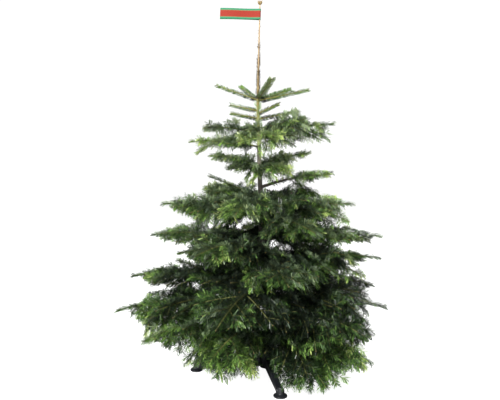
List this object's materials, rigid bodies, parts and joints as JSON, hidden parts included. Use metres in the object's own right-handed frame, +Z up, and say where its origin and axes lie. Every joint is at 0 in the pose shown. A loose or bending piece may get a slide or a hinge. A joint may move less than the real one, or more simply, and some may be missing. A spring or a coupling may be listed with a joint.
{
  "type": "cut christmas tree",
  "caption": "Cut fir about 1.75 m tall: leaning trunk with a long bare leader, whorled fronds of flat needles, a ribbon flag and a black plastic stand with disc feet.",
  "frame": {"origin": "centre of the stand hub's flat underside, on the floor under the trunk's cut end", "axes": "+Z up along the trunk; +X right and +Y back, seen from the front"},
  "size_m": [1.2485, 1.1171, 1.746],
  "materials": {
    "bark": "grey-brown bark, paler on young wood",
    "needles": "dark green flat needles with a slight gloss",
    "young_needles": "paler green needles of the top shoots",
    "stand_plastic": "black moulded plastic",
    "ribbon": "plain striped film ribbon"
  },
  "bodies": {
    "root": {"trunk": "bark", "single_right_bough": "bark", "first_left_bough": "bark", "second_right_bough": "bark", "fourth_left_bough": "bark", "fifth_left_bough": "bark", "stand_hub": "stand_plastic", "stand_leg_right": "stand_plastic", "stand_leg_back": "stand_plastic", "stand_leg_left": "stand_plastic", "stand_leg_front": "stand_plastic", "ribbon_label": "ribbon", "top_twig_left": "young_needles", "top_twig_back_left": "young_needles", "top_twig_front_right": "young_needles", "top_twig_back_right": "young_needles", "top_twig_right": "young_needles", "spur_twig_left": "young_needles", "spur_twig_front_right": "young_needles", "spur_twig_lower_left": "young_needles", "spur_twig_lower_right": "young_needles", "upper_mass_left": "needles", "upper_mass_back_left": "needles", "upper_mass_right": "needles", "upper_mass_front": "needles", "upper_mass_back_right": "needles", "middle_mass_left": "needles", "middle_mass_right": "needles", "middle_mass_front": "needles", "middle_mass_back": "needles", "single_right": "needles", "single_twig_left": "young_needles", "shoulder_mass_left": "needles", "shoulder_mass_right": "needles", "shoulder_mass_front": "needles", "first_mass_left": "needles", "first_mass_right": "needles", "first_mass_back": "needles", "first_mass_front": "needles", "second_mass_left": "needles", "second_mass_right": "needles", "second_mass_front": "needles", "second_mass_back": "needles", "third_mass_right": "needles", "third_mass_left": "needles", "third_mass_front": "needles", "third_mass_back": "needles", "fourth_mass_left": "needles", "fourth_mass_right": "needles", "fourth_mass_front": "needles", "fourth_mass_back": "needles", "fifth_mass_left": "needles", "fifth_mass_right": "needles", "fifth_mass_front": "needles", "fifth_mass_back": "needles", "lowest_mass_left": "needles", "lowest_mass_right": "needles", "lowest_mass_front_left": "needles", "lowest_mass_front_right": "needles", "lowest_mass_back_right": "needles"}
  },
  "joints": []
}
